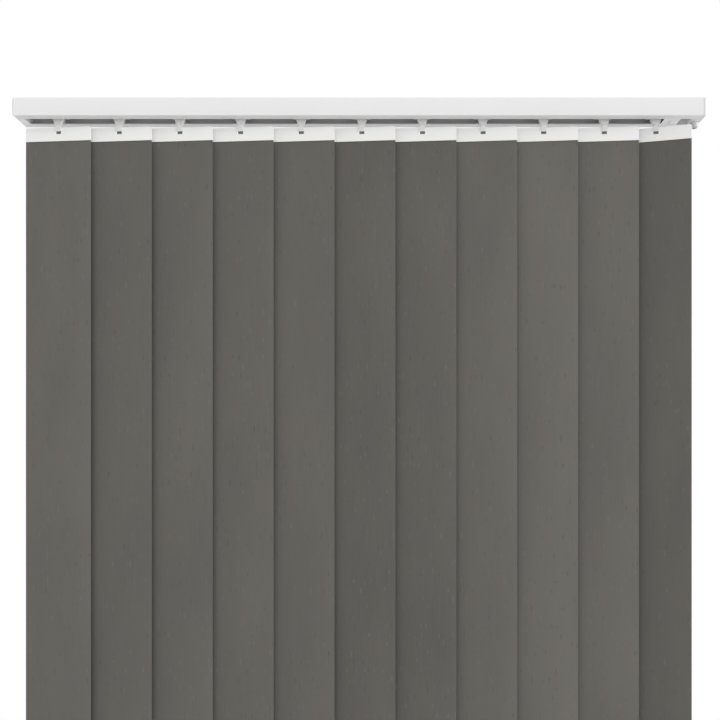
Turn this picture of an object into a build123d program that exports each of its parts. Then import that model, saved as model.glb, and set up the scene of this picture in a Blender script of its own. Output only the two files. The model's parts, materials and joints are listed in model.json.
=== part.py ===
from build123d import *
import os

# Vertical blind: a white headrail clipped to the ceiling, with fabric slats that draw and tilt.
# Lengths are in millimetres and angles in degrees. X runs along the headrail towards the control
# end, Y from the room towards the window, and Z up. The origin lies in the ceiling plane, midway
# between the two bracket screws.

# Blind as a whole
blind_width = 900.0  # over both end caps
blind_drop = 1370.0  # from the ceiling to the bottom of the slats
slat_pitch = 80.0  # between neighbouring carriers when the blind is drawn
end_slat_pitch = 68.0  # between the last two carriers
last_carrier_inset = 60.0  # from the control end to the last carrier
return_inset = 48.0  # least room between the return end and the first carrier
closed_angle = 5.0  # of the drawn slats to the headrail
end_slat_angle = 14.0  # of the slat beside the control end

# Clearances
fit_clearance = 0.15  # between pieces pushed together
shaft_clearance = 0.1  # round a turning shaft
running_clearance = 0.3  # beside a moving piece

# Headrail, an aluminium extrusion
rail_width = 40.0
rail_height = 24.0
rail_wall = 1.4
rail_bow = 1.2  # bulge of the front and back faces
rail_edge_radius = 2.0
slot_width = 19.0
channel_opening = 16.0  # groove in the top that the brackets clip into
channel_width = 23.0
channel_depth = 3.0

# Mounting brackets, two spring-steel clips
bracket_spacing = 600.0
bracket_length = 34.0
bracket_width = 28.0
bracket_thickness = 1.5
bracket_corner = 4.0
bracket_screw_radius = 2.25
clip_leg_width = 18.0
clip_hook_reach = 2.0
clip_hook_height = 1.4

# End caps
cap_thickness = 4.0
cap_overhang = 0.3
cap_edge = 2.0
return_plug_length = 7.5
control_plug_length = 12.0
bearing_depth = 7.0

# Control end: stop block, cord outlet and cord guide
stop_gap = 2.0  # between the last carrier and the stop block
stop_nose_length = 6.0
stop_nose_height = 3.0
outlet_length = 14.5
boss_length = 8.0
boss_width = 9.0
boss_depth = 3.0
boss_corner = 1.0
boss_screw_radius = 1.4
boss_screw_depth = 2.0
guide_radius = 5.3
guide_depth = 8.5
guide_lip = 1.4
guide_bore_radius = 2.0
guide_bore_depth = 12.0
cord_wall_place = 8.0  # behind the middle of the headrail
cord_wall_thickness = 1.4

# Tilt rod, a six-sided bar that turns in the end caps
rod_radius = 2.6
rod_journal_radius = 2.0

# Carriers
carrier_length = 24.0
carrier_lift = 5.6  # of the housing above the track
carrier_height = 9.0
carrier_wall = 1.4
carrier_shoulder = 3.0
carrier_end_chamfer = 2.0
glide_length = 9.0  # feet that slide on the tracks, one on each side
glide_width = 4.4
glide_overlap = 1.8  # of the feet beside the housing
glide_chamfer = 1.2
rod_window_sides = 8
nose_top_width = 15.5  # tapered spout that reaches through the slot
nose_tip_width = 7.2
nose_drop = 5.0  # below the underside of the headrail

# Stems
stem_radius = 2.6
stem_float = 0.2
stem_head_radius = 4.0
stem_head_height = 1.6
stem_blade_width = 6.8
stem_blade_thickness = 3.4
finger_clearance = 0.1
barb_height = 1.6
barb_lip = 0.7
barb_overreach = 0.4
guide_finger_land = 0.5  # of the back finger beyond the window
guide_finger_thickness = 0.5  # behind the window

# Hangers
slat_width = 89.0
hanger_drop = 7.5  # top of the hangers below the underside of the headrail
hanger_height = 18.3
hanger_thickness = 1.0
hanger_corner = 1.6
window_width = 7.6
window_height = 5.0
window_land = 3.9  # between the hanger's top edge and its window
jaw_height = 3.2
jaw_thickness = 2.4
jaw_grip = 2.6  # how far the fabric goes up into the jaw
fabric_clearance = 0.05

# Slats
fabric_thickness = 0.5
pocket_height = 42.0
pocket_weld = 3.0

# Slat weights
weight_width = 84.0
weight_height = 36.0
weight_thickness = 1.0
weight_chamfer = 3.0
weight_clearance = 0.05

# Levels, from the ceiling down
rail_top = -bracket_thickness
rail_under = rail_top - rail_height
rail_middle = rail_top - rail_height / 2
track_level = rail_under + rail_wall
channel_floor = rail_top - rail_wall - channel_depth
channel_base = channel_floor - rail_wall
carrier_base = track_level + carrier_lift
carrier_top = carrier_base + carrier_height
rod_level = carrier_base + carrier_height / 2
nose_tip = rail_under - nose_drop
hanger_top = rail_under - hanger_drop
hanger_base = hanger_top - hanger_height
window_top = hanger_top - window_land
slat_top = hanger_base + jaw_grip
slat_base = -blind_drop

# Places along the headrail
return_end = -blind_width / 2
control_end_face = blind_width / 2
rail_start = return_end + cap_thickness
rail_end = control_end_face - cap_thickness
rail_length = rail_end - rail_start
return_plug_end = rail_start + return_plug_length
control_plug_end = rail_end - control_plug_length
last_carrier = control_end_face - last_carrier_inset
drawn_room = blind_width - last_carrier_inset - end_slat_pitch - return_inset
drawn_gaps = int(drawn_room // slat_pitch)
drawn_carriers = [last_carrier - end_slat_pitch - slat_pitch * gap for gap in range(drawn_gaps, -1, -1)]
stop_start = last_carrier + carrier_length / 2 + stop_gap
stop_end = control_plug_end - outlet_length
stop_middle = (stop_start + stop_end) / 2
outlet_middle = (stop_end + control_plug_end) / 2
guide_place = (control_plug_end + rail_end) / 2

# Sizes that follow from the pieces that fit together
stem_bore_radius = stem_radius + shaft_clearance
rod_bore_radius = rod_radius + running_clearance
rod_offset = stem_bore_radius + carrier_wall + rod_bore_radius
carrier_width = 2 * (rod_offset + rod_bore_radius + carrier_wall)
roof_base = rod_level + rod_bore_radius
cord_wall_base = track_level + fit_clearance
cord_wall_top = rod_level - rod_bore_radius
glide_base = track_level + running_clearance
glide_top = carrier_base + glide_overlap
channel_box_width = channel_width + 2 * rail_wall
channel_box_height = rail_top - channel_base
tongue_width = slot_width - 2 * fit_clearance
pocket_gap = weight_thickness + 2 * weight_clearance
pocket_radius = (pocket_gap + 2 * fabric_thickness) / 2
pocket_middle = (pocket_gap + fabric_thickness) / 2
pocket_base = slat_base + pocket_radius
pocket_top = slat_base + pocket_height

carrier_spots = [Location((place, 0, 0)) for place in drawn_carriers + [last_carrier]]
vane_spots = [Location((place, 0, 0), (0, 0, -closed_angle)) for place in drawn_carriers]
vane_spots.append(Location((last_carrier, 0, 0), (0, 0, -end_slat_angle)))

os.makedirs("parts", exist_ok=True)


def finish(piece, name):
    """Name a finished piece and write it out."""
    piece.part.label = name
    export_step(piece.part, f"parts/{name}.step")


def repeat(piece, name, spots):
    """Write one copy of a piece for each spot, numbered from the return end."""
    for number, spot in enumerate(spots, start=1):
        with BuildPart() as copy:
            with Locations(spot):
                add(piece.part)
        finish(copy, f"{name}_{number:02d}")


# Section outline that the headrail and its end caps share
with BuildSketch(Plane.YZ) as rail_outline:
    with BuildLine():
        Line((-rail_width / 2, rail_under), (rail_width / 2, rail_under))
        ThreePointArc(
            (rail_width / 2, rail_under),
            (rail_width / 2 + rail_bow, rail_middle),
            (rail_width / 2, rail_top),
        )
        Line((rail_width / 2, rail_top), (-rail_width / 2, rail_top))
        ThreePointArc(
            (-rail_width / 2, rail_top),
            (-rail_width / 2 - rail_bow, rail_middle),
            (-rail_width / 2, rail_under),
        )
    make_face()
    fillet(rail_outline.vertices(), radius=rail_edge_radius)

# Headrail: hollow section with a slot below, a track on each side of it and a bracket groove above
with BuildPart() as headrail:
    with BuildSketch(Plane.YZ.offset(rail_start)):
        add(rail_outline.sketch_local)
        offset(rail_outline.sketch_local, amount=-rail_wall, mode=Mode.SUBTRACT)
        with Locations((0, rail_top - channel_box_height / 2)):
            Rectangle(channel_box_width, channel_box_height)
        with Locations((0, channel_floor + channel_depth / 2)):
            Rectangle(channel_width, channel_depth, mode=Mode.SUBTRACT)
        with Locations((0, rail_top)):
            Rectangle(channel_opening, 2 * rail_wall, mode=Mode.SUBTRACT)
        with Locations((0, rail_under)):
            Rectangle(slot_width, 2 * rail_wall, mode=Mode.SUBTRACT)
    extrude(amount=rail_length)
finish(headrail, "headrail")

# Mounting brackets: flat plates with two hooked legs that snap under the lips of the groove
clip_face = channel_opening / 2 - fit_clearance
clip_level = rail_top - rail_wall - fit_clearance
clip_tip = clip_level - clip_hook_height
bracket_places = [(-bracket_spacing / 2, 0), (bracket_spacing / 2, 0)]
with BuildPart() as mounting_brackets:
    with BuildSketch(Plane.XY.offset(rail_top)) as plates:
        with Locations(*bracket_places):
            Rectangle(bracket_length, bracket_width)
        chamfer(plates.vertices(), length=bracket_corner)
        with Locations(*bracket_places):
            Circle(bracket_screw_radius, mode=Mode.SUBTRACT)
    extrude(amount=bracket_thickness)
    for place, _ in bracket_places:
        with BuildSketch(Plane.YZ.offset(place)) as clip_leg:
            with BuildLine():
                Polyline(
                    (clip_face - bracket_thickness, rail_top),
                    (clip_face, rail_top),
                    (clip_face, clip_level),
                    (clip_face + clip_hook_reach, clip_level),
                    (clip_face, clip_tip),
                    (clip_face - bracket_thickness, clip_tip),
                    close=True,
                )
            make_face()
            mirror(about=Plane.YZ)
        extrude(amount=clip_leg_width / 2, both=True)
finish(mounting_brackets, "mounting_brackets")

# Section of the end caps' plugs: the inside of the headrail, with a tongue that fills the slot
with BuildSketch(Plane.YZ) as plug_section:
    offset(rail_outline.sketch_local, amount=-rail_wall - fit_clearance)
    with Locations((0, rail_top - channel_box_height / 2)):
        Rectangle(
            channel_box_width + 2 * fit_clearance,
            channel_box_height + 2 * fit_clearance,
            mode=Mode.SUBTRACT,
        )
    with Locations((0, rail_under + rail_wall)):
        Rectangle(tongue_width, 2 * rail_wall)

# Return end cap: flange over the end of the headrail, plug inside it and a blind bearing for the rod
with BuildPart() as return_end_cap:
    with BuildSketch(Plane.YZ.offset(return_end)):
        offset(rail_outline.sketch_local, amount=cap_overhang)
    extrude(amount=cap_thickness)
    chamfer(return_end_cap.faces().sort_by(Axis.X)[0].edges(), length=cap_edge)
    with BuildSketch(Plane.YZ.offset(rail_start)):
        add(plug_section.sketch_local)
    extrude(amount=return_plug_length)
    with BuildSketch(Plane.YZ.offset(return_plug_end)):
        with Locations((rod_offset, rod_level)):
            Circle(rod_journal_radius + shaft_clearance)
    extrude(amount=-bearing_depth, mode=Mode.SUBTRACT)
finish(return_end_cap, "return_end_cap")

# Control end: end cap, cord outlet and stop block moulded as one, joined by a roof over the outlet
with BuildPart() as control_end:
    with BuildSketch(Plane.YZ.offset(rail_end)):
        offset(rail_outline.sketch_local, amount=cap_overhang)
    extrude(amount=cap_thickness)
    chamfer(control_end.faces().sort_by(Axis.X)[-1].edges(), length=cap_edge)
    with BuildSketch(Plane.YZ.offset(rail_end)):
        add(plug_section.sketch_local)
    extrude(amount=-control_plug_length)
    with BuildSketch(Plane.YZ.offset(stop_start)):
        add(plug_section.sketch_local)
    extrude(amount=stop_end - stop_start)
    # Roof between the stop block and the plug, above the rod
    with BuildSketch(Plane.YZ.offset(stop_end)):
        add(plug_section.sketch_local)
        with Locations((0, rail_under)):
            Rectangle(2 * rail_width, 2 * (roof_base - rail_under), mode=Mode.SUBTRACT)
    extrude(amount=outlet_length)
    # Wall behind the outlet, under the rod, that keeps the cords off it
    with BuildSketch(Plane.XY.offset(cord_wall_base)):
        with Locations((outlet_middle, cord_wall_place + cord_wall_thickness / 2)):
            Rectangle(outlet_length, cord_wall_thickness)
    extrude(amount=cord_wall_top - cord_wall_base)
    # Sloping nose in the slot, under the last carrier
    with BuildSketch(Plane.XZ) as stop_nose:
        with BuildLine():
            Polyline(
                (stop_start, rail_under),
                (stop_start, rail_under + stop_nose_height),
                (stop_start - stop_nose_length / 2, rail_under + stop_nose_height),
                (stop_start - stop_nose_length, rail_under),
                close=True,
            )
        make_face()
    extrude(amount=tongue_width / 2, both=True)
    # Screw boss below the stop block
    with BuildSketch(Plane.XY.offset(rail_under)):
        with Locations((stop_middle, 0)):
            RectangleRounded(boss_length, boss_width, boss_corner)
    extrude(amount=-boss_depth)
    with BuildSketch(Plane.XY.offset(rail_under - boss_depth)):
        with Locations((stop_middle, 0)):
            Circle(boss_screw_radius)
    extrude(amount=boss_screw_depth, mode=Mode.SUBTRACT)
    # Bevelled cord guide below the plug
    with BuildSketch(Plane.XY.offset(rail_under)):
        with Locations((guide_place, 0)):
            Circle(guide_radius)
    extrude(amount=-guide_depth)
    chamfer(control_end.faces().sort_by(Axis.Z)[0].edges(), length=guide_lip)
    with BuildSketch(Plane.XY.offset(rail_under - guide_depth)):
        with Locations((guide_place, 0)):
            Circle(guide_bore_radius)
    extrude(amount=guide_bore_depth, mode=Mode.SUBTRACT)
    # Clear bore for the rod in the stop block and a blind bearing for it in the plug
    with BuildSketch(Plane.YZ.offset(stop_start)):
        with Locations((rod_offset, rod_level)):
            Circle(rod_bore_radius)
    extrude(amount=stop_end - stop_start, mode=Mode.SUBTRACT)
    with BuildSketch(Plane.YZ.offset(control_plug_end)):
        with Locations((rod_offset, rod_level)):
            Circle(rod_journal_radius + shaft_clearance)
    extrude(amount=bearing_depth, mode=Mode.SUBTRACT)
finish(control_end, "control_end")

# Tilt rod: six-sided bar with a turned journal at each end
journal_start = return_plug_end - bearing_depth + running_clearance
journal_end = control_plug_end + bearing_depth - running_clearance
rod_start = return_plug_end + running_clearance
rod_end = control_plug_end - running_clearance
with BuildPart() as tilt_rod:
    with BuildSketch(Plane.YZ.offset(rod_start)):
        with Locations((rod_offset, rod_level)):
            RegularPolygon(radius=rod_radius, side_count=6)
    extrude(amount=rod_end - rod_start)
    with BuildSketch(Plane.YZ.offset(journal_start)):
        with Locations((rod_offset, rod_level)):
            Circle(rod_journal_radius)
    extrude(amount=journal_end - journal_start)
finish(tilt_rod, "tilt_rod")

# Carrier: moulded housing on two glide feet, with a tapered spout, a stem bore and a rod window
with BuildPart() as carrier:
    with BuildSketch(Plane.YZ):
        with BuildLine():
            Polyline(
                (-carrier_width / 2, carrier_base),
                (carrier_width / 2, carrier_base),
                (carrier_width / 2, carrier_top - carrier_shoulder),
                (carrier_width / 2 - carrier_shoulder, carrier_top),
                (-carrier_width / 2 + carrier_shoulder, carrier_top),
                (-carrier_width / 2, carrier_top - carrier_shoulder),
                close=True,
            )
        make_face()
    extrude(amount=carrier_length / 2, both=True)
    chamfer(carrier.edges().filter_by(Axis.Z), length=carrier_end_chamfer)
    with BuildSketch(Plane.XZ):
        with BuildLine():
            Polyline(
                (-nose_top_width / 2, carrier_base),
                (-nose_tip_width / 2, nose_tip),
                (nose_tip_width / 2, nose_tip),
                (nose_top_width / 2, carrier_base),
                close=True,
            )
        make_face()
    extrude(amount=nose_tip_width / 2, both=True)
    for side in (-1, 1):
        with BuildSketch(Plane.XZ.offset(side * carrier_width / 2)) as glide:
            with Locations((0, (glide_base + glide_top) / 2)):
                Rectangle(glide_length, glide_top - glide_base)
            chamfer(glide.vertices(), length=glide_chamfer)
        extrude(amount=side * glide_width)
    with Locations((0, 0, carrier_top)):
        Hole(stem_bore_radius)
    with BuildSketch(Plane.YZ):
        with Locations((rod_offset, rod_level)):
            RegularPolygon(
                radius=rod_bore_radius,
                side_count=rod_window_sides,
                major_radius=False,
                rotation=180 / rod_window_sides,
            )
    extrude(amount=carrier_length, both=True, mode=Mode.SUBTRACT)
repeat(carrier, "carrier", carrier_spots)

# Stem: shaft hung by its head on the carrier, with a forked hook that holds the hanger's window
blade_top = nose_tip - stem_float
head_base = carrier_top + stem_float
fork_root = hanger_top + finger_clearance
barb_base = window_top - barb_height
finger_face = hanger_thickness / 2 + finger_clearance
barb_reach = hanger_thickness / 2 + barb_overreach
finger_back = stem_blade_thickness / 2
finger_recess = finger_back - guide_finger_thickness
finger_tip = window_top - window_height - guide_finger_land
with BuildPart() as stem:
    with BuildSketch(Plane.XY.offset(blade_top)):
        Circle(stem_radius)
    extrude(amount=head_base - blade_top)
    with BuildSketch(Plane.XY.offset(head_base)):
        RegularPolygon(radius=stem_head_radius, side_count=8)
    extrude(amount=stem_head_height)
    with BuildSketch(Plane.YZ):
        with BuildLine():
            Polyline(
                (-finger_back, blade_top),
                (-finger_back, barb_base),
                (-finger_face, barb_base),
                (barb_reach, window_top - barb_lip),
                (barb_reach, window_top),
                (-finger_face, window_top),
                (-finger_face, fork_root),
                (finger_face, fork_root),
                (finger_face, window_top + finger_recess - finger_face),
                (finger_recess, window_top),
                (finger_recess, finger_tip),
                (finger_back, finger_tip),
                (finger_back, blade_top),
                close=True,
            )
        make_face()
    extrude(amount=stem_blade_width / 2, both=True)
repeat(stem, "stem", vane_spots)

# Hanger: thin plate with a window for the hook and a jaw along its lower edge for the fabric
jaw_step = (jaw_thickness - hanger_thickness) / 2
jaw_top = hanger_base + jaw_height
jaw_slot = fabric_thickness / 2 + fabric_clearance
with BuildPart() as hanger:
    with BuildSketch(Plane.YZ) as hanger_section:
        with BuildLine():
            Polyline(
                (0, hanger_top),
                (hanger_thickness / 2, hanger_top),
                (hanger_thickness / 2, jaw_top),
                (jaw_thickness / 2, jaw_top - jaw_step / 2),
                (jaw_thickness / 2, hanger_base),
                (jaw_slot, hanger_base),
                (jaw_slot, slat_top),
                (0, slat_top),
                close=True,
            )
        make_face()
        mirror(about=Plane.YZ)
    extrude(amount=slat_width / 2, both=True)
    chamfer(hanger.edges().filter_by(Axis.Y).group_by(Axis.Z)[-1], length=hanger_corner)
    with BuildSketch(Plane.XZ):
        with Locations((0, window_top - window_height / 2)):
            Rectangle(window_width, window_height)
    extrude(amount=hanger_thickness, both=True, mode=Mode.SUBTRACT)
repeat(hanger, "hanger", vane_spots)

# Slat: strip of fabric turned back at the foot and welded to make a pocket, open at both sides
with BuildPart() as slat:
    with BuildSketch(Plane.YZ):
        with BuildLine():
            Polyline(
                (-fabric_thickness / 2, pocket_base),
                (pocket_middle - pocket_radius / 2, slat_base),
                (pocket_middle + pocket_radius / 2, slat_base),
                (pocket_middle + pocket_radius, pocket_base),
                (pocket_middle + pocket_radius, pocket_top),
                (3 * fabric_thickness / 2, pocket_top + pocket_gap),
                (3 * fabric_thickness / 2, pocket_top + pocket_gap + pocket_weld),
                (fabric_thickness / 2, pocket_top + pocket_gap + pocket_weld),
                (fabric_thickness / 2, slat_top),
                (-fabric_thickness / 2, slat_top),
                close=True,
            )
        make_face()
        with BuildLine():
            Polyline(
                (fabric_thickness / 2, pocket_base),
                (pocket_middle, slat_base + fabric_thickness),
                (fabric_thickness / 2 + pocket_gap, pocket_base),
                (fabric_thickness / 2 + pocket_gap, pocket_top),
                (fabric_thickness / 2, pocket_top + pocket_gap),
                close=True,
            )
        make_face(mode=Mode.SUBTRACT)
    extrude(amount=slat_width / 2, both=True)
repeat(slat, "slat", vane_spots)

# Slat weight: steel plate that lies in the fold of the pocket
with BuildPart() as slat_weight:
    with BuildSketch(Plane.XZ.offset(-pocket_middle)) as weight_outline:
        with Locations((0, pocket_base + weight_height / 2)):
            Rectangle(weight_width, weight_height)
        chamfer(weight_outline.vertices(), length=weight_chamfer)
    extrude(amount=weight_thickness / 2, both=True)
repeat(slat_weight, "slat_weight", vane_spots)
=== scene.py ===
import json
import math
import random

import bmesh
import bpy
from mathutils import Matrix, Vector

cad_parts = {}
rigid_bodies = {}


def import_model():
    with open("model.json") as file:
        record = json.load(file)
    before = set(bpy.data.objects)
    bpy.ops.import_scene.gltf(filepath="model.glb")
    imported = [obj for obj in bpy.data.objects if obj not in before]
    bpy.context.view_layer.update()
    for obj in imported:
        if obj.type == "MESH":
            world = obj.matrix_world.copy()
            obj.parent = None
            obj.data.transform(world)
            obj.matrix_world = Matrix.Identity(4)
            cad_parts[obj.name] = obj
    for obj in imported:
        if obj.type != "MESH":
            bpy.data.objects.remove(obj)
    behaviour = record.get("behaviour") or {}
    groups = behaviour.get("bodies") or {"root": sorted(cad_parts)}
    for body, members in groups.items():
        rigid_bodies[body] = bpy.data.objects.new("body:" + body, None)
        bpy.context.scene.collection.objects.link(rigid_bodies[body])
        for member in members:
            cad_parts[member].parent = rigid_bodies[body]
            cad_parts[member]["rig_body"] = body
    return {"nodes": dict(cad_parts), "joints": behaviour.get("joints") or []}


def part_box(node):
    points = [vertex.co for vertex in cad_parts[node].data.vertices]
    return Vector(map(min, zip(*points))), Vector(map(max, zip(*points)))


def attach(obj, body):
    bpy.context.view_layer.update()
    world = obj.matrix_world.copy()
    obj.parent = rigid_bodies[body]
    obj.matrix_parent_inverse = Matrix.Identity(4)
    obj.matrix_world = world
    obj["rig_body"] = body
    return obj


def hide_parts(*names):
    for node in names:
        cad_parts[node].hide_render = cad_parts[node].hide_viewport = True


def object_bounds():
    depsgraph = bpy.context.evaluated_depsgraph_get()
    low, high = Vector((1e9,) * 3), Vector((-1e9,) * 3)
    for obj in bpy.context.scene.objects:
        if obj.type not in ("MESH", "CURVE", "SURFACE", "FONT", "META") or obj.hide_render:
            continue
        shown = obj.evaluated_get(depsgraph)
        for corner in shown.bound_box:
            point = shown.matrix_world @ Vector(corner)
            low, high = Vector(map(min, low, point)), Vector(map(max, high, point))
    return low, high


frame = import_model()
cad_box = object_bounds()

bl_info = {
    "name": "Vertical Blind",
    "version": (1, 0, 0),
    "blender": (4, 5, 0),
    "location": "View3D > Sidebar > Blind",
    "description": "Hangs cloth slats on a white headrail and finishes its mouldings and metal",
    "category": "Object",
}

nodes = frame["nodes"]
hinges = {joint["child"]: joint for joint in frame["joints"] if joint["type"] == "hinge"}

# Sizes within the rail, hangers and control end that the boxes of the frame don't give
LIP_THICKNESS = 0.0014
GROOVE_DEPTH = 0.0058
WINDOW_LAND = 0.0039
FINGER_FACE = 0.0001
GUIDE_INSET = 0.0165
GUIDE_STEP = 0.0004

# Widths of the borders between two finishes, and between a finish and painted shade
LIP_BORDER = 0.0003
GROOVE_BORDER = 0.0004
WINDOW_BORDER = 0.0002
GUIDE_BORDER = 0.0002
WELD_BORDER = 0.0004

# Heights of the finishes' relief
COAT_RELIEF = 0.00008
MOULD_RELIEF = 0.00006
STRIP_RELIEF = 0.00006
SCRATCH_RELIEF = 0.00005
ROD_RELIEF = 0.00005
WEAVE_RELIEF = 0.00012

# Distances from the cloth's cut edge at which its darkening, a seal with painted shade, starts and
# is complete
SEAL_SHADE_START = 0.0011
SEAL_SHADE_FULL = 0.0004

# Borders between faces that look different ways: the rail's inner and outer walls, and a hook's
# sides and front
OUTER_WALL = (0.002, 0.004)
HOOK_SIDE = (-0.6, -0.5)

rail_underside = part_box("headrail")[0].z
lip_top = rail_underside + LIP_THICKNESS
groove_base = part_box("headrail")[1].z - GROOVE_DEPTH
window_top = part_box("hanger_01")[1].z - WINDOW_LAND
guide_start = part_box("control_end")[1].x - GUIDE_INSET

# Rounded edges of the mouldings and the rail
VERTEX_MERGE = 0.000002
FLAT_ANGLE = math.radians(1.0)
SHARP_ANGLE = math.radians(32.0)
ROUNDING_SEGMENTS = 2
FLAT_FACE_WEIGHT = 100

# Cells of the slat's grid: columns across one side, and rows from the hanger down, round the fold,
# up the back of the pocket, in to the weld and over the weld, with closing rows at both ends
SIDE_COLUMNS = 28
BODY_ROWS = 90
FOLD_ROWS = 12
POCKET_ROWS = 6
SLOPE_ROWS = 1
WELD_ROWS = 1
END_ROWS = 1

# Form of the cloth: roundness of its cut edges, lengths over which the hanger and the pocket hold
# it flat, waves per metre, and the step between the patterns of two slats
EDGE_POWER = 0.2
HANGER_HOLD = 0.16
POCKET_HOLD = 0.09
WAVES_ACROSS = 11.0
WAVES_DOWN = 4.5
SEED_STEP = 3.7
SEAM_MERGE = 0.00003

# Sockets of a Mix node that serve colours
MIX_SHARE, MIX_FIRST, MIX_SECOND, MIX_RESULT = 0, 6, 7, 2

WHITE = (1.0, 1.0, 1.0, 1.0)


class Wire:
    """An output socket that adds Math nodes when it is used in a sum."""

    def __init__(self, graph, socket):
        self.graph = graph
        self.socket = socket

    def other(self, name):
        """Another output of the same node."""
        return Wire(self.graph, self.socket.node.outputs[name])

    def __add__(self, value):
        return self.graph.math("ADD", self, value)

    def __sub__(self, value):
        return self.graph.math("SUBTRACT", self, value)

    def __rsub__(self, value):
        return self.graph.math("SUBTRACT", value, self)

    def __mul__(self, value):
        return self.graph.math("MULTIPLY", self, value)

    def __truediv__(self, value):
        return self.graph.math("DIVIDE", self, value)

    def __rtruediv__(self, value):
        return self.graph.math("DIVIDE", value, self)

    __radd__ = __add__
    __rmul__ = __mul__


class Graph:
    """A node tree that is written as Python calls."""

    def __init__(self, tree):
        self.tree = tree

    def node(self, kind, settings=None, sockets=None, output=0):
        """Add a node: its settings first, then the values or wires of its inputs."""
        made = self.tree.nodes.new(kind)
        for name, value in (settings or {}).items():
            setattr(made, name, value)
        for key, value in (sockets or {}).items():
            if isinstance(value, Wire):
                self.tree.links.new(value.socket, made.inputs[key])
            else:
                made.inputs[key].default_value = value
        return Wire(self, made.outputs[output]) if len(made.outputs) else None

    def math(self, operation, *values):
        return self.node("ShaderNodeMath", {"operation": operation}, dict(enumerate(values)))

    def rise(self, value, start, end, shape="LINEAR"):
        """0 before start and 1 after end."""
        limits = {"Value": value, "From Min": start, "From Max": end}
        return self.node("ShaderNodeMapRange", {"interpolation_type": shape}, limits)

    def vector(self, x, y, z):
        return self.node("ShaderNodeCombineXYZ", None, {"X": x, "Y": y, "Z": z})

    def split(self, vector):
        """The three parts of a vector."""
        x = self.node("ShaderNodeSeparateXYZ", None, {"Vector": vector})
        return x, x.other("Y"), x.other("Z")

    def coordinates(self, kind):
        return self.node("ShaderNodeTexCoord", output=kind)

    def attribute(self, name, output):
        """What the mesh holds under a name."""
        return self.node("ShaderNodeAttribute", {"attribute_name": name}, output=output)

    def mix(self, share, first, second, blend="MIX"):
        """Mix two colours."""
        settings = {"data_type": "RGBA", "blend_type": blend}
        sockets = {MIX_SHARE: share, MIX_FIRST: first, MIX_SECOND: second}
        return self.node("ShaderNodeMix", settings, sockets, output=MIX_RESULT)

    def tinted(self, colour, factor):
        """A colour multiplied by a value or by another colour."""
        return self.mix(1.0, colour, factor, "MULTIPLY")

    def noise(self, place, scale, detail=2.0):
        """A value about one half that wanders over the surface."""
        sockets = {"Vector": place, "Scale": scale, "Detail": detail}
        return self.node("ShaderNodeTexNoise", None, sockets)

    def grain(self, place, scales, detail=2.0):
        """Noise with a scale for each axis, so that it is drawn out along the lowest."""
        drawn_out = self.node("ShaderNodeMapping", None, {"Vector": place, "Scale": scales})
        return self.noise(drawn_out, 1.0, detail)

    def bump(self, height, strength, distance):
        sockets = {"Height": height, "Strength": strength, "Distance": distance}
        return self.node("ShaderNodeBump", None, sockets)


def tinge(colour, red, green, blue):
    """A colour with each of its parts made stronger or weaker."""
    return (colour[0] * red, colour[1] * green, colour[2] * blue, 1.0)


def shade(colour, factor=1.0):
    """A colour made lighter or darker."""
    return tuple(min(part, 1.0) for part in tinge(colour, factor, factor, factor))


def new_finish(name, **constants):
    """A material with one Principled shader, whose constant sockets are set here."""
    finish = bpy.data.materials.new(name)
    finish.use_nodes = True
    shader = finish.node_tree.nodes["Principled BSDF"]
    for socket, value in constants.items():
        shader.inputs[socket.replace("_", " ")].default_value = value
    return finish, Graph(finish.node_tree), shader


def vary(graph, shader, **wires):
    """Join values that change over the surface to the shader's sockets."""
    for socket, wire in wires.items():
        graph.tree.links.new(wire.socket, shader.inputs[socket.replace("_", " ")])


def shade_inside_rail(graph):
    """1 on the walls inside the rail, below its bracket groove, where shade is painted in as a
    darker grey.
    """
    _, y, z = graph.split(graph.coordinates("Object"))
    _, facing, _ = graph.split(graph.coordinates("Normal"))
    above_lips = graph.rise(z, lip_top - LIP_BORDER, lip_top)
    below_groove = 1.0 - graph.rise(z, groove_base, groove_base + GROOVE_BORDER)
    inward = 1.0 - graph.rise(y * facing, *OUTER_WALL)
    return above_lips * below_groove * inward


def window_recess_shade(graph):
    """1 on the faces of a hook's back finger that look out through the hanger's window, where the
    shade of the window's hollow is painted in.
    """
    _, y, z = graph.split(graph.coordinates("Object"))
    _, facing, _ = graph.split(graph.coordinates("Normal"))
    below = 1.0 - graph.rise(z, window_top - WINDOW_BORDER, window_top)
    behind = graph.rise(y, FINGER_FACE, FINGER_FACE + WINDOW_BORDER)
    to_room = 1.0 - graph.rise(facing, *HOOK_SIDE)
    return below * behind * to_room


def cord_guide(graph):
    """1 on the guide that hangs below the control end."""
    x, _, z = graph.split(graph.coordinates("Object"))
    below = 1.0 - graph.rise(z, rail_underside - 2 * GUIDE_STEP, rail_underside - GUIDE_STEP)
    return below * graph.rise(x, guide_start, guide_start + GUIDE_BORDER)


def powder_coat(colour, inner_shade_colour):
    """White satin powder coat with faint draw lines along the rail, and painted shade on the walls
    inside it.
    """
    finish, graph, shader = new_finish("rail_paint", IOR=1.5, Specular_IOR_Level=0.3)
    place = graph.coordinates("Object")
    peel = graph.noise(place, 900.0, 3.0)
    draw_lines = graph.grain(place, (2.0, 700.0, 700.0))
    patches = graph.noise(place, 9.0)
    tone = graph.mix(patches, shade(colour, 0.98), shade(colour, 1.015))
    vary(
        graph,
        shader,
        # Painted shade: the walls inside the rail get a darker grey
        Base_Color=graph.mix(shade_inside_rail(graph), tone, shade(inner_shade_colour)),
        Roughness=0.46 + draw_lines * 0.08 + peel * 0.06,
        Normal=graph.bump(peel * 0.7 + draw_lines * 0.3, 0.12, COAT_RELIEF),
    )
    return finish


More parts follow.
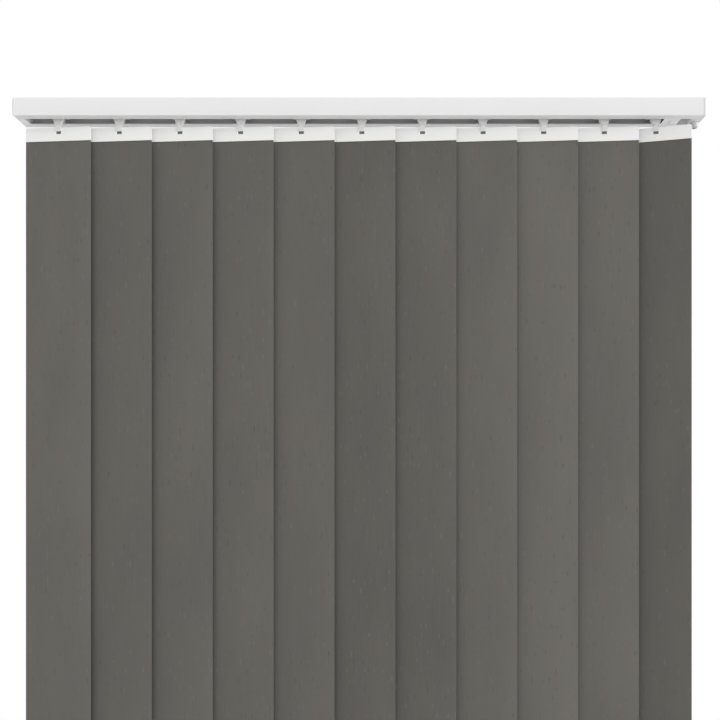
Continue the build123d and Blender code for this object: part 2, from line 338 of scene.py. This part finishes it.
def moulded_plastic(name, colour, grain, gloss, region=None, region_colour=None):
    """Plastic with a fine spark-eroded grain and flow clouds, and a region in another colour: grey
    plastic on the cord guide, painted shade in the hooks behind the hangers' windows.
    """
    finish, graph, shader = new_finish(name, IOR=1.48, Specular_IOR_Level=0.35)
    place = graph.coordinates("Object")
    sparks = graph.noise(place, grain, 3.0)
    clouds = graph.noise(place, 60.0)
    tone = graph.mix(clouds, shade(colour, 0.965), shade(colour, 1.02))
    if region:
        tone = graph.mix(region(graph), tone, shade(region_colour))
    vary(
        graph,
        shader,
        Base_Color=tone,
        Roughness=gloss + sparks * 0.12 + clouds * 0.05,
        Normal=graph.bump(sparks, 0.15, MOULD_RELIEF),
    )
    return finish


def extruded_plastic(colour):
    """Slightly warm white strip, drawn along its length, for the hangers."""
    finish, graph, shader = new_finish("hanger_plastic", IOR=1.48)
    place = graph.coordinates("Object")
    lines = graph.grain(place, (5.0, 5.0, 1500.0))
    clouds = graph.noise(place, 35.0)
    vary(
        graph,
        shader,
        Base_Color=graph.mix(clouds, shade(colour), tinge(colour, 1.0, 0.995, 0.985)),
        Roughness=0.40 + lines * 0.14,
        Normal=graph.bump(lines, 0.12, STRIP_RELIEF),
    )
    return finish


def plated_steel(name, colour):
    """Zinc-plated steel with a dull spangle and fine handling scratches."""
    finish, graph, shader = new_finish(name, Metallic=1.0)
    place = graph.coordinates("Object")
    cells = {"Vector": place, "Scale": 260.0}
    spangle = graph.node("ShaderNodeTexVoronoi", None, cells, output="Color")
    grey = graph.node("ShaderNodeSeparateColor", None, {"Color": spangle})
    scratches = graph.grain(place, (60.0, 900.0, 900.0), 3.0)
    vary(
        graph,
        shader,
        Base_Color=graph.mix(grey, shade(colour, 0.88), shade(colour, 1.08)),
        Roughness=0.28 + grey * 0.14 + scratches * 0.12,
        Normal=graph.bump(scratches, 0.1, SCRATCH_RELIEF),
    )
    return finish


def drawn_aluminium(colour):
    """Bare drawn rod with lines along its length."""
    finish, graph, shader = new_finish("rod_aluminium", Metallic=1.0)
    lines = graph.grain(graph.coordinates("Object"), (6.0, 1600.0, 1600.0))
    vary(
        graph,
        shader,
        Base_Color=graph.mix(lines, shade(colour, 0.9), shade(colour, 1.05)),
        Roughness=0.24 + lines * 0.2,
        Normal=graph.bump(lines, 0.15, ROD_RELIEF),
    )
    return finish


def slat_cloth(slats):
    """Stiffened woven cloth: fine warp and weft, slubs along the slat, cut edges darkened as a seal
    and as painted shade, and painted light that makes each slat lighter or darker as a whole.
    """
    finish, graph, shader = new_finish(
        "slat_fabric", IOR=1.45, Sheen_Weight=0.06, Sheen_Roughness=0.5)
    colour = slats.cloth_colour
    place = graph.attribute("cloth_place", "Vector")
    across, along, _ = graph.split(place)
    weld = graph.attribute("weld", "Fac")
    slat_light = graph.attribute("slat_light", "Fac")

    # Yarns: the weave, uneven threads along the slat, and thick and thin places in them
    yarns = 2.0 * math.pi / slats.yarn_pitch
    warp = graph.math("SINE", across * yarns)
    weft = graph.math("SINE", along * yarns)
    weave = warp * weft * 0.5 + 0.5
    streaks = graph.grain(place, (760.0, 20.0, 40.0), 3.0)
    slubs = graph.grain(place, (340.0, 85.0, 40.0), 0.0)
    pale_slubs = graph.rise(slubs, 0.73, 0.81, "SMOOTHSTEP")
    dark_slubs = 1.0 - graph.rise(slubs, 0.19, 0.27, "SMOOTHSTEP")
    from_middle = graph.math("ABSOLUTE", across)
    edge = graph.rise(from_middle, slats.width / 2 - SEAL_SHADE_START, slats.width / 2 - SEAL_SHADE_FULL)

    # Painted light: each slat lighter or darker as a whole, standing in for light that falls
    # unevenly along the blind; then clouds, and a drift from olive to brown along the yarns
    deep, pale, spread = 0.83, 1.17, slats.slat_light_spread
    deep_yarn = graph.mix(slat_light, shade(colour, deep - spread), shade(colour, deep + spread))
    pale_yarn = graph.mix(slat_light, shade(colour, pale - spread), shade(colour, pale + spread))
    yarn = graph.mix(streaks, deep_yarn, pale_yarn)
    clouds = graph.grain(place, (14.0, 4.0, 40.0))
    cloudy = graph.mix(clouds * 0.45, yarn, tinge(colour, 1.08, 1.02, 0.92))
    browning = graph.rise(graph.grain(place, (80.0, 14.0, 60.0)), 0.3, 0.7)
    olive = tinge(WHITE, 0.976, 1.005, 0.975)
    brown = tinge(WHITE, 1.024, 0.995, 1.025)
    drift = graph.mix(browning, olive, brown)
    uneven = graph.tinted(graph.tinted(cloudy, 0.82 + clouds * 0.36), drift)

    woven = graph.mix(weave * 0.30, uneven, shade(colour, 0.80))
    light = graph.mix(pale_slubs * 0.42, woven, shade(colour, 1.36))
    dark = graph.mix(dark_slubs * 0.48, light, shade(colour, 0.62))
    welded = graph.mix(weld * 0.35, dark, shade(colour, 0.72))
    height = weave * 0.55 + streaks * 0.35 + pale_slubs * 0.2 - weld * 0.4
    vary(
        graph,
        shader,
        # Cut edges darker: a sealed edge, and painted shade that dulls the light the rounded edge
        # catches
        Base_Color=graph.mix(edge * 0.5, welded, shade(colour, 0.65)),
        Roughness=0.78 + streaks * 0.12 - weld * 0.25,
        Normal=graph.bump(height, 0.22, WEAVE_RELIEF),
    )
    return finish


def slat_tree():
    """Node tree of one slat: a closed strip of cloth, cambered and folded into a pocket below."""
    tree = bpy.data.node_groups.new("Cloth Slat", "GeometryNodeTree")
    for name in (
        "Width", "Thickness", "Top", "Hanger Edge", "Foot", "Pocket Height", "Pocket Gap",
        "Weld Height", "Camber", "Ripple", "Seed", "Slat Light", "Place", "Turn",
    ):
        tree.interface.new_socket(name, in_out="INPUT", socket_type="NodeSocketFloat")
    tree.interface.new_socket("Cloth", in_out="INPUT", socket_type="NodeSocketMaterial")
    tree.interface.new_socket("Geometry", in_out="OUTPUT", socket_type="NodeSocketGeometry")
    graph = Graph(tree)
    size = graph.node("NodeGroupInput")
    width = size.other("Width")
    thickness = size.other("Thickness")
    top = size.other("Top")
    hanger_edge = size.other("Hanger Edge")
    foot = size.other("Foot")
    gap = size.other("Pocket Gap")
    weld_height = size.other("Weld Height")
    seed = size.other("Seed")

    # The grid's first direction goes once round the strip's section, the second down its length
    fold_start = END_ROWS + BODY_ROWS
    fold_end = fold_start + FOLD_ROWS
    pocket_end = fold_end + POCKET_ROWS
    slope_end = pocket_end + SLOPE_ROWS
    weld_end = slope_end + WELD_ROWS
    last_row = weld_end + END_ROWS
    cells = {
        "Size X": 1.0,
        "Size Y": 1.0,
        "Vertices X": 2 * SIDE_COLUMNS + 1,
        "Vertices Y": last_row + 1,
    }
    grid = graph.node("GeometryNodeMeshGrid", None, cells)
    x, y, _ = graph.split(graph.node("GeometryNodeInputPosition"))
    round_section = (x + 0.5) * (2.0 * math.pi)
    row = (y + 0.5) * last_row

    # Section: a flat oval, so that the cut edges are rounded off
    across = graph.math("COSINE", round_section) * width * -0.5
    swing = graph.math("SINE", round_section)
    blunt = graph.math("POWER", graph.math("ABSOLUTE", swing), EDGE_POWER)
    closing = graph.rise(row, 0.0, END_ROWS) - graph.rise(row, weld_end, last_row)
    out = graph.math("SIGN", swing) * blunt * thickness * closing * 0.5

    # Length: down the front, half round the fold, up the back and in to the weld
    rim = thickness * 0.5
    fold_radius = (gap + thickness) * 0.5
    fold_level = foot + fold_radius + rim
    pocket_top = foot + size.other("Pocket Height")
    turned = graph.rise(row, fold_start, fold_end) * math.pi
    drop = rim * graph.rise(row, 0.0, END_ROWS)
    drop = drop + (top - rim - fold_level) * graph.rise(row, END_ROWS, fold_start)
    inward = gap * graph.rise(row, pocket_end, slope_end)
    lift = (pocket_top - fold_level) * graph.rise(row, fold_end, pocket_end) + inward
    lift = lift + (weld_height - rim) * graph.rise(row, slope_end, weld_end)
    lift = lift + rim * graph.rise(row, weld_end, last_row)
    cos_turned = graph.math("COSINE", turned)
    sin_turned = graph.math("SINE", turned)
    level = top - drop - sin_turned * (fold_radius + out) + lift
    depth = fold_radius * (1.0 - cos_turned) - inward - cos_turned * out

    # Camber and ripple fade out at the stiff hanger and at the weighted pocket
    weld_low = pocket_top + gap
    weld_high = weld_low + weld_height
    near_hanger = graph.rise(level, hanger_edge - HANGER_HOLD, hanger_edge, "SMOOTHSTEP")
    above_weld = graph.rise(level, weld_high, weld_high + POCKET_HOLD, "SMOOTHSTEP")
    free = (1.0 - near_hanger) * above_weld
    half_share = across * 2.0 / width
    bow = size.other("Camber") * (1.0 - half_share * half_share)
    spot = graph.vector(across * WAVES_ACROSS, level * WAVES_DOWN, seed * SEED_STEP)
    waves = graph.noise(spot, 1.0, 1.0)
    ripple = size.other("Ripple") * (waves * 2.0 - 1.0)
    front = depth - (bow + ripple) * free

    # What the cloth's material reads: the place on the flat cloth, the weld and how much painted
    # light makes the slat lighter or darker
    along = drop + turned * fold_radius + lift
    above_low = graph.rise(level, weld_low - WELD_BORDER, weld_low)
    above_high = graph.rise(level, weld_high, weld_high + WELD_BORDER)
    marked = grid
    for name, data_type, value in (
        ("cloth_place", "FLOAT_VECTOR", graph.vector(across, along, seed)),
        ("weld", "FLOAT", above_low - above_high),
        ("slat_light", "FLOAT", size.other("Slat Light")),
    ):
        marked = graph.node(
            "GeometryNodeStoreNamedAttribute",
            {"data_type": data_type, "domain": "POINT"},
            {"Geometry": marked, "Name": name, "Value": value},
        )

    form = {"Geometry": marked, "Position": graph.vector(across, front, level)}
    strip = graph.node("GeometryNodeSetPosition", None, form)
    merge = {"Geometry": strip, "Distance": SEAM_MERGE}
    closed = graph.node("GeometryNodeMergeByDistance", None, merge)
    outward = graph.node("GeometryNodeFlipFaces", None, {"Mesh": closed})
    smooth = graph.node("GeometryNodeSetShadeSmooth", None, {0: outward})
    hanging = {
        "Geometry": smooth,
        "Translation": graph.vector(size.other("Place"), 0.0, 0.0),
        "Rotation": graph.vector(0.0, 0.0, size.other("Turn")),
    }
    hung = graph.node("GeometryNodeTransform", None, hanging)
    real = graph.node("GeometryNodeRealizeInstances", None, {"Geometry": hung})
    dress = {"Geometry": real, "Material": size.other("Cloth")}
    dressed = graph.node("GeometryNodeSetMaterial", None, dress)
    graph.node("NodeGroupOutput", None, {"Geometry": dressed})
    return tree


def new_piece(name, mesh):
    """An object at the origin that holds a mesh."""
    piece = bpy.data.objects.new(name, mesh)
    bpy.context.scene.collection.objects.link(piece)
    return piece


def settle(piece):
    """Make what a piece's modifiers give its plain mesh."""
    depsgraph = bpy.context.evaluated_depsgraph_get()
    mesh = bpy.data.meshes.new_from_object(piece.evaluated_get(depsgraph))
    piece.modifiers.clear()
    piece.data = mesh
    if not mesh.polygons:
        raise RuntimeError(f"{piece.name} has no faces")


def run_tree(tree, name, values):
    """Run a node tree on an empty mesh and keep the result as a plain mesh object."""
    piece = new_piece(name, bpy.data.meshes.new(name))
    modifier = piece.modifiers.new("Cloth Slat", "NODES")
    modifier.node_group = tree
    for socket in tree.interface.items_tree:
        if socket.in_out == "INPUT":
            modifier[socket.identifier] = values[socket.name]
    settle(piece)
    return piece


def softened(node_name, piece_name, radius, finish):
    """A copy of a CAD node with rounded edges, which stands for the node on the same body."""
    mesh = nodes[node_name].data.copy()
    mesh.name = piece_name
    shell = bmesh.new()
    shell.from_mesh(mesh)
    bmesh.ops.remove_doubles(shell, verts=shell.verts, dist=VERTEX_MERGE)
    bmesh.ops.dissolve_limit(
        shell, angle_limit=FLAT_ANGLE, verts=shell.verts, edges=shell.edges)
    for face in shell.faces:
        face.smooth = True
    shell.to_mesh(mesh)
    shell.free()
    piece = new_piece(piece_name, mesh)
    rounding = piece.modifiers.new("Rounding", "BEVEL")
    rounding.width = radius
    rounding.segments = ROUNDING_SEGMENTS
    rounding.limit_method = "ANGLE"
    rounding.angle_limit = SHARP_ANGLE
    rounding.use_clamp_overlap = True
    flats = piece.modifiers.new("Flat Faces", "WEIGHTED_NORMAL")
    flats.mode = "FACE_AREA"
    flats.weight = FLAT_FACE_WEIGHT
    settle(piece)
    piece.data.materials.clear()
    piece.data.materials.append(finish)
    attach(piece, nodes[node_name]["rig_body"])
    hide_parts(node_name)


def coat(node_name, finish):
    """Give a CAD node that stays in view its finish."""
    for holder in nodes[node_name].material_slots:
        holder.material = finish


def numbered(prefix):
    """Names and numbers of a row of like nodes."""
    parts = [(name, *name.rpartition("_")) for name in sorted(nodes)]
    return [(name, number) for name, kind, _, number in parts if kind == prefix]


def lay_floor(stage):
    """A pale matt floor under the blind."""
    finish, graph, shader = new_finish("floor_paint", Specular_IOR_Level=0.2)
    clouds = graph.noise(graph.coordinates("Object"), 3.0)
    vary(
        graph,
        shader,
        Base_Color=graph.mix(clouds, shade(WHITE, 0.86), shade(WHITE, 0.90)),
        Roughness=0.7 + clouds * 0.1,
    )
    side, back = stage.floor_reach, stage.floor_back
    level = cad_box[0][2] - stage.floor_drop
    corners = [(-side, -side), (side, -side), (side, back), (-side, back)]
    mesh = bpy.data.meshes.new("floor")
    mesh.from_pydata([(x, y, level) for x, y in corners], [], [(0, 1, 2, 3)])
    mesh.materials.append(finish)
    new_piece("floor", mesh)


def light_room(scene, stage):
    """A white room that is brighter below than above, and one wide soft light from the right."""
    world = bpy.data.worlds.new("studio")
    world.use_nodes = True
    scene.world = world
    world.node_tree.nodes.clear()
    graph = Graph(world.node_tree)
    _, _, height = graph.split(graph.coordinates("Generated"))
    glow = {
        "Value": height,
        "From Min": -1.0,
        "From Max": 1.0,
        "To Min": stage.ground_light,
        "To Max": stage.sky_light,
    }
    strength = graph.node("ShaderNodeMapRange", None, glow)
    room = graph.node("ShaderNodeBackground", None, {"Color": WHITE, "Strength": strength})
    backdrop = graph.node("ShaderNodeBackground", None, {"Color": WHITE, "Strength": 1.0})
    seen = graph.node("ShaderNodeLightPath", output="Is Camera Ray")
    surface = graph.node("ShaderNodeMixShader", None, {0: seen, 1: room, 2: backdrop})
    graph.node("ShaderNodeOutputWorld", None, {"Surface": surface})
    key = bpy.data.lights.new("key", "SUN")
    key.energy = stage.key_strength
    key.angle = stage.key_spread
    lamp = bpy.data.objects.new("key", key)
    lamp.rotation_euler = (math.radians(90.0) - stage.key_height, 0.0, stage.key_side)
    scene.collection.objects.link(lamp)


def set_camera(scene, stage):
    """A level camera in front of the blind, shifted up to take in the rail."""
    lens = bpy.data.cameras.new("Camera")
    lens.lens = stage.lens
    lens.shift_x, lens.shift_y = stage.shift
    camera = bpy.data.objects.new("Camera", lens)
    camera.location = stage.camera_place
    camera.rotation_euler = (math.radians(90.0), 0.0, 0.0)
    scene.collection.objects.link(camera)
    scene.camera = camera


class SlatSettings(bpy.types.PropertyGroup):
    """Sizes and colour of the cloth slats"""
    width: bpy.props.FloatProperty(
        name="Width", description="Cut width of the cloth", default=0.089, unit="LENGTH")
    thickness: bpy.props.FloatProperty(
        name="Thickness", description="Thickness of the cloth", default=0.0005, unit="LENGTH")
    pocket_height: bpy.props.FloatProperty(
        name="Pocket Height", description="Height of the weight pocket",
        default=0.042, unit="LENGTH")
    pocket_gap: bpy.props.FloatProperty(
        name="Pocket Gap", description="Room for the weight in its pocket",
        default=0.0011, unit="LENGTH")
    weld_height: bpy.props.FloatProperty(
        name="Weld Height", description="Height of the weld that closes the pocket",
        default=0.003, unit="LENGTH")
    camber: bpy.props.FloatProperty(
        name="Camber", description="Bulge of the free cloth towards the room",
        default=0.0019, unit="LENGTH")
    ripple: bpy.props.FloatProperty(
        name="Ripple", description="Unevenness of the hanging cloth",
        default=0.0003, unit="LENGTH")
    yarn_pitch: bpy.props.FloatProperty(
        name="Yarn Pitch", description="Distance between like yarns",
        default=0.0009, unit="LENGTH")
    closed_angle: bpy.props.FloatProperty(
        name="Closed Angle", description="Angle of the slats to the rail",
        default=math.radians(5.0), subtype="ANGLE")
    end_angle: bpy.props.FloatProperty(
        name="End Angle", description="Angle of the slat at the control end",
        default=math.radians(14.0), subtype="ANGLE")
    # Painted light: the next two set how far, and how, each slat is made lighter or darker as a
    # whole, standing in for light that falls unevenly along the blind
    slat_light_spread: bpy.props.FloatProperty(
        name="Dye Spread", description="How far the dye of single slats strays from the mean",
        default=0.2, min=0.0, max=0.5, subtype="FACTOR")
    slat_light_seed: bpy.props.IntProperty(
        name="Dye Seed", description="Chooses the dye of each slat", default=375200)
    seed: bpy.props.IntProperty(
        name="Seed", description="Chooses the ripples and slubs", default=4)
    cloth_colour: bpy.props.FloatVectorProperty(
        name="Cloth Colour", description="Colour of the cloth",
        default=(0.124, 0.119, 0.1075), size=3, subtype="COLOR", min=0.0, max=1.0)


class FittingSettings(bpy.types.PropertyGroup):
    """Edge radii and colours of the rail, mouldings and metal, and the greys of painted shade"""
    rail_rounding: bpy.props.FloatProperty(
        name="Rail Rounding", description="Radius on the rail's cut lips",
        default=0.00025, unit="LENGTH")
    cap_rounding: bpy.props.FloatProperty(
        name="Cap Rounding", description="Radius on the end mouldings",
        default=0.0003, unit="LENGTH")
    part_rounding: bpy.props.FloatProperty(
        name="Part Rounding", description="Radius on carriers and stems",
        default=0.0002, unit="LENGTH")
    hanger_rounding: bpy.props.FloatProperty(
        name="Hanger Rounding", description="Radius on the hangers' edges",
        default=0.0002, unit="LENGTH")
    rail_colour: bpy.props.FloatVectorProperty(
        name="Rail Colour", description="Powder coat of the rail",
        default=(0.80, 0.80, 0.80), size=3, subtype="COLOR", min=0.0, max=1.0)
    # Painted shade: the darker grey painted on the walls inside the rail
    rail_inner_shade_colour: bpy.props.FloatVectorProperty(
        name="Rail Inner Shade Colour", description="Uncoated inside of the rail",
        default=(0.70, 0.70, 0.70), size=3, subtype="COLOR", min=0.0, max=1.0)
    cap_colour: bpy.props.FloatVectorProperty(
        name="Cap Colour", description="Plastic of the end mouldings",
        default=(0.81, 0.81, 0.81), size=3, subtype="COLOR", min=0.0, max=1.0)
    hanger_colour: bpy.props.FloatVectorProperty(
        name="Hanger Colour", description="Plastic of the hangers",
        default=(0.905, 0.905, 0.902), size=3, subtype="COLOR", min=0.0, max=1.0)
    carrier_colour: bpy.props.FloatVectorProperty(
        name="Carrier Colour", description="Plastic of the carriers",
        default=(0.74, 0.74, 0.735), size=3, subtype="COLOR", min=0.0, max=1.0)
    stem_colour: bpy.props.FloatVectorProperty(
        name="Stem Colour", description="Plastic of the turning stems",
        default=(0.79, 0.79, 0.785), size=3, subtype="COLOR", min=0.0, max=1.0)
    # Painted shade: the dark grey painted on the hooks behind the hangers' windows
    recess_shade_colour: bpy.props.FloatVectorProperty(
        name="Recess Shade Colour", description="Shade in the hooks behind the hangers' windows",
        default=(0.20, 0.20, 0.20), size=3, subtype="COLOR", min=0.0, max=1.0)
    guide_colour: bpy.props.FloatVectorProperty(
        name="Guide Colour", description="Plastic of the cord guide",
        default=(0.56, 0.56, 0.56), size=3, subtype="COLOR", min=0.0, max=1.0)
    steel_colour: bpy.props.FloatVectorProperty(
        name="Steel Colour", description="Plated steel of clips and weights",
        default=(0.58, 0.58, 0.59), size=3, subtype="COLOR", min=0.0, max=1.0)
    rod_colour: bpy.props.FloatVectorProperty(
        name="Rod Colour", description="Bare aluminium of the tilt rod",
        default=(0.76, 0.76, 0.77), size=3, subtype="COLOR", min=0.0, max=1.0)


class StageSettings(bpy.types.PropertyGroup):
    """Camera, floor and light"""
    camera_place: bpy.props.FloatVectorProperty(
        name="Camera Place", description="Where the camera stands",
        default=(0.0393, -1.100, rail_underside - 0.4327), size=3, subtype="TRANSLATION")
    lens: bpy.props.FloatProperty(
        name="Lens", description="Focal length in millimetres", default=41.72, unit="CAMERA")
    shift: bpy.props.FloatVectorProperty(
        name="Shift", description="Camera shift across and up",
        default=(-0.0417, 0.125), size=2)
    floor_drop: bpy.props.FloatProperty(
        name="Floor Drop", description="Floor below the slats", default=0.03, unit="LENGTH")
    floor_reach: bpy.props.FloatProperty(
        name="Floor Reach", description="Floor to the front and to each side",
        default=2.0, unit="LENGTH")
    floor_back: bpy.props.FloatProperty(
        name="Floor Back", description="Floor behind the blind", default=1.5, unit="LENGTH")
    key_strength: bpy.props.FloatProperty(
        name="Key Strength", description="Strength of the soft main light",
        default=2.33, min=0.0)
    key_spread: bpy.props.FloatProperty(
        name="Key Spread", description="Angle over which the main light is spread",
        default=math.radians(45.0), subtype="ANGLE")
    key_side: bpy.props.FloatProperty(
        name="Key Side", description="Main light's angle to the right of the camera",
        default=math.radians(70.0), subtype="ANGLE")
    key_height: bpy.props.FloatProperty(
        name="Key Height", description="Main light's angle above the horizon",
        default=math.radians(11.0), subtype="ANGLE")
    sky_light: bpy.props.FloatProperty(
        name="Sky Light", description="Light from above", default=0.63, min=0.0)
    ground_light: bpy.props.FloatProperty(
        name="Ground Light", description="Light from below", default=0.98, min=0.0)


class BLIND_OT_headrail(bpy.types.Operator):
    """Coat the headrail and ease the lips of its slots"""
    bl_idname = "blind.headrail"
    bl_label = "Finish Headrail"

    def execute(self, context):
        fittings = context.scene.blind_fittings
        coating = powder_coat(fittings.rail_colour, fittings.rail_inner_shade_colour)
        softened("headrail", "headrail_extrusion", fittings.rail_rounding, coating)
        return {"FINISHED"}


class BLIND_OT_end_mouldings(bpy.types.Operator):
    """Finish the return cap and the control end"""
    bl_idname = "blind.end_mouldings"
    bl_label = "Finish End Mouldings"

    def execute(self, context):
        fittings = context.scene.blind_fittings
        plastic = moulded_plastic(
            "cap_plastic", fittings.cap_colour, grain=1500.0, gloss=0.34,
            region=cord_guide, region_colour=fittings.guide_colour)
        softened("return_end_cap", "return_cap_moulding", fittings.cap_rounding, plastic)
        softened("control_end", "control_end_moulding", fittings.cap_rounding, plastic)
        return {"FINISHED"}


class BLIND_OT_metal(bpy.types.Operator):
    """Finish the clip brackets, the tilt rod and the slat weights"""
    bl_idname = "blind.metal"
    bl_label = "Finish Metal"

    def execute(self, context):
        fittings = context.scene.blind_fittings
        coat("mounting_brackets", plated_steel("bracket_steel", fittings.steel_colour))
        coat("tilt_rod", drawn_aluminium(fittings.rod_colour))
        zinc = plated_steel("weight_steel", fittings.steel_colour)
        for name, _ in numbered("slat_weight"):
            coat(name, zinc)
        return {"FINISHED"}


class BLIND_OT_carriers(bpy.types.Operator):
    """Mould the carriers that run in the rail"""
    bl_idname = "blind.carriers"
    bl_label = "Mould Carriers"

    def execute(self, context):
        fittings = context.scene.blind_fittings
        plastic = moulded_plastic(
            "carrier_plastic", fittings.carrier_colour, grain=1800.0, gloss=0.38)
        for name, number in numbered("carrier"):
            softened(name, f"carrier_moulding_{number}", fittings.part_rounding, plastic)
        return {"FINISHED"}


class BLIND_OT_stems(bpy.types.Operator):
    """Mould the turning stems with their hooks"""
    bl_idname = "blind.stems"
    bl_label = "Mould Stems"

    def execute(self, context):
        fittings = context.scene.blind_fittings
        # Painted shade: a dark grey on the hook faces seen through the hangers' windows
        plastic = moulded_plastic(
            "stem_plastic", fittings.stem_colour, grain=2200.0, gloss=0.30,
            region=window_recess_shade, region_colour=fittings.recess_shade_colour)
        for name, number in numbered("stem"):
            softened(name, f"stem_moulding_{number}", fittings.part_rounding, plastic)
        return {"FINISHED"}


class BLIND_OT_hangers(bpy.types.Operator):
    """Finish the strips that grip the cloth"""
    bl_idname = "blind.hangers"
    bl_label = "Finish Hangers"

    def execute(self, context):
        fittings = context.scene.blind_fittings
        plastic = extruded_plastic(fittings.hanger_colour)
        for name, number in numbered("hanger"):
            softened(name, f"hanger_strip_{number}", fittings.hanger_rounding, plastic)
        return {"FINISHED"}


class BLIND_OT_slats(bpy.types.Operator):
    """Hang the cloth slats from their hangers"""
    bl_idname = "blind.slats"
    bl_label = "Hang Slats"

    def execute(self, context):
        slats = context.scene.blind_slats
        tree = slat_tree()
        cut = {
            "Width": slats.width,
            "Thickness": slats.thickness,
            "Pocket Height": slats.pocket_height,
            "Pocket Gap": slats.pocket_gap,
            "Weld Height": slats.weld_height,
            "Camber": slats.camber,
            "Ripple": slats.ripple,
            "Cloth": slat_cloth(slats),
        }
        # Painted light: each slat gets its own lightness, standing in for uneven light along the
        # blind
        slat_lights = random.Random(slats.slat_light_seed)
        row = numbered("slat")
        for order, (name, number) in enumerate(row):
            body = nodes[name]["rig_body"]
            hanger = f"hanger_{number}"
            foot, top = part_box(name)[0].z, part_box(name)[1].z
            at_control_end = (name, number) == row[-1]
            piece = run_tree(tree, f"slat_cloth_{number}", cut | {
                "Top": top,
                "Hanger Edge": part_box(hanger)[0].z,
                "Foot": foot,
                "Seed": float(slats.seed + order),
                "Slat Light": slat_lights.random(),
                "Place": hinges[body]["pos_m"][0],
                "Turn": -(slats.end_angle if at_control_end else slats.closed_angle),
            })
            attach(piece, body)
            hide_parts(name)
        return {"FINISHED"}


class BLIND_OT_stage(bpy.types.Operator):
    """Lay the floor, light the room softly and set up the camera"""
    bl_idname = "blind.stage"
    bl_label = "Set Stage"

    def execute(self, context):
        stage = context.scene.blind_stage
        context.scene.view_settings.view_transform = "Standard"
        lay_floor(stage)
        light_room(context.scene, stage)
        set_camera(context.scene, stage)
        return {"FINISHED"}


class BLIND_PT_panel(bpy.types.Panel):
    """Sizes, colours and steps of the blind"""
    bl_idname = "BLIND_PT_panel"
    bl_label = "Vertical Blind"
    bl_space_type = "VIEW_3D"
    bl_region_type = "UI"
    bl_category = "Blind"

    def draw(self, context):
        for title, settings in (
            ("Slats", context.scene.blind_slats),
            ("Fittings", context.scene.blind_fittings),
            ("Stage", context.scene.blind_stage),
        ):
            box = self.layout.box()
            box.label(text=title)
            for name in settings.__annotations__:
                box.prop(settings, name)
        for operator in OPERATORS:
            self.layout.operator(operator.bl_idname)


OPERATORS = (
    BLIND_OT_headrail,
    BLIND_OT_end_mouldings,
    BLIND_OT_metal,
    BLIND_OT_carriers,
    BLIND_OT_stems,
    BLIND_OT_hangers,
    BLIND_OT_slats,
    BLIND_OT_stage,
)
CLASSES = (SlatSettings, FittingSettings, StageSettings) + OPERATORS + (BLIND_PT_panel,)


def register():
    for item in CLASSES:
        bpy.utils.register_class(item)
    bpy.types.Scene.blind_slats = bpy.props.PointerProperty(type=SlatSettings)
    bpy.types.Scene.blind_fittings = bpy.props.PointerProperty(type=FittingSettings)
    bpy.types.Scene.blind_stage = bpy.props.PointerProperty(type=StageSettings)


def unregister():
    del bpy.types.Scene.blind_stage
    del bpy.types.Scene.blind_fittings
    del bpy.types.Scene.blind_slats
    for item in reversed(CLASSES):
        bpy.utils.unregister_class(item)


def main():
    register()
    bpy.ops.blind.headrail()
    bpy.ops.blind.end_mouldings()
    bpy.ops.blind.metal()
    bpy.ops.blind.carriers()
    bpy.ops.blind.stems()
    bpy.ops.blind.hangers()
    bpy.ops.blind.slats()
    bpy.ops.blind.stage()


if __name__ == "__main__":
    main()
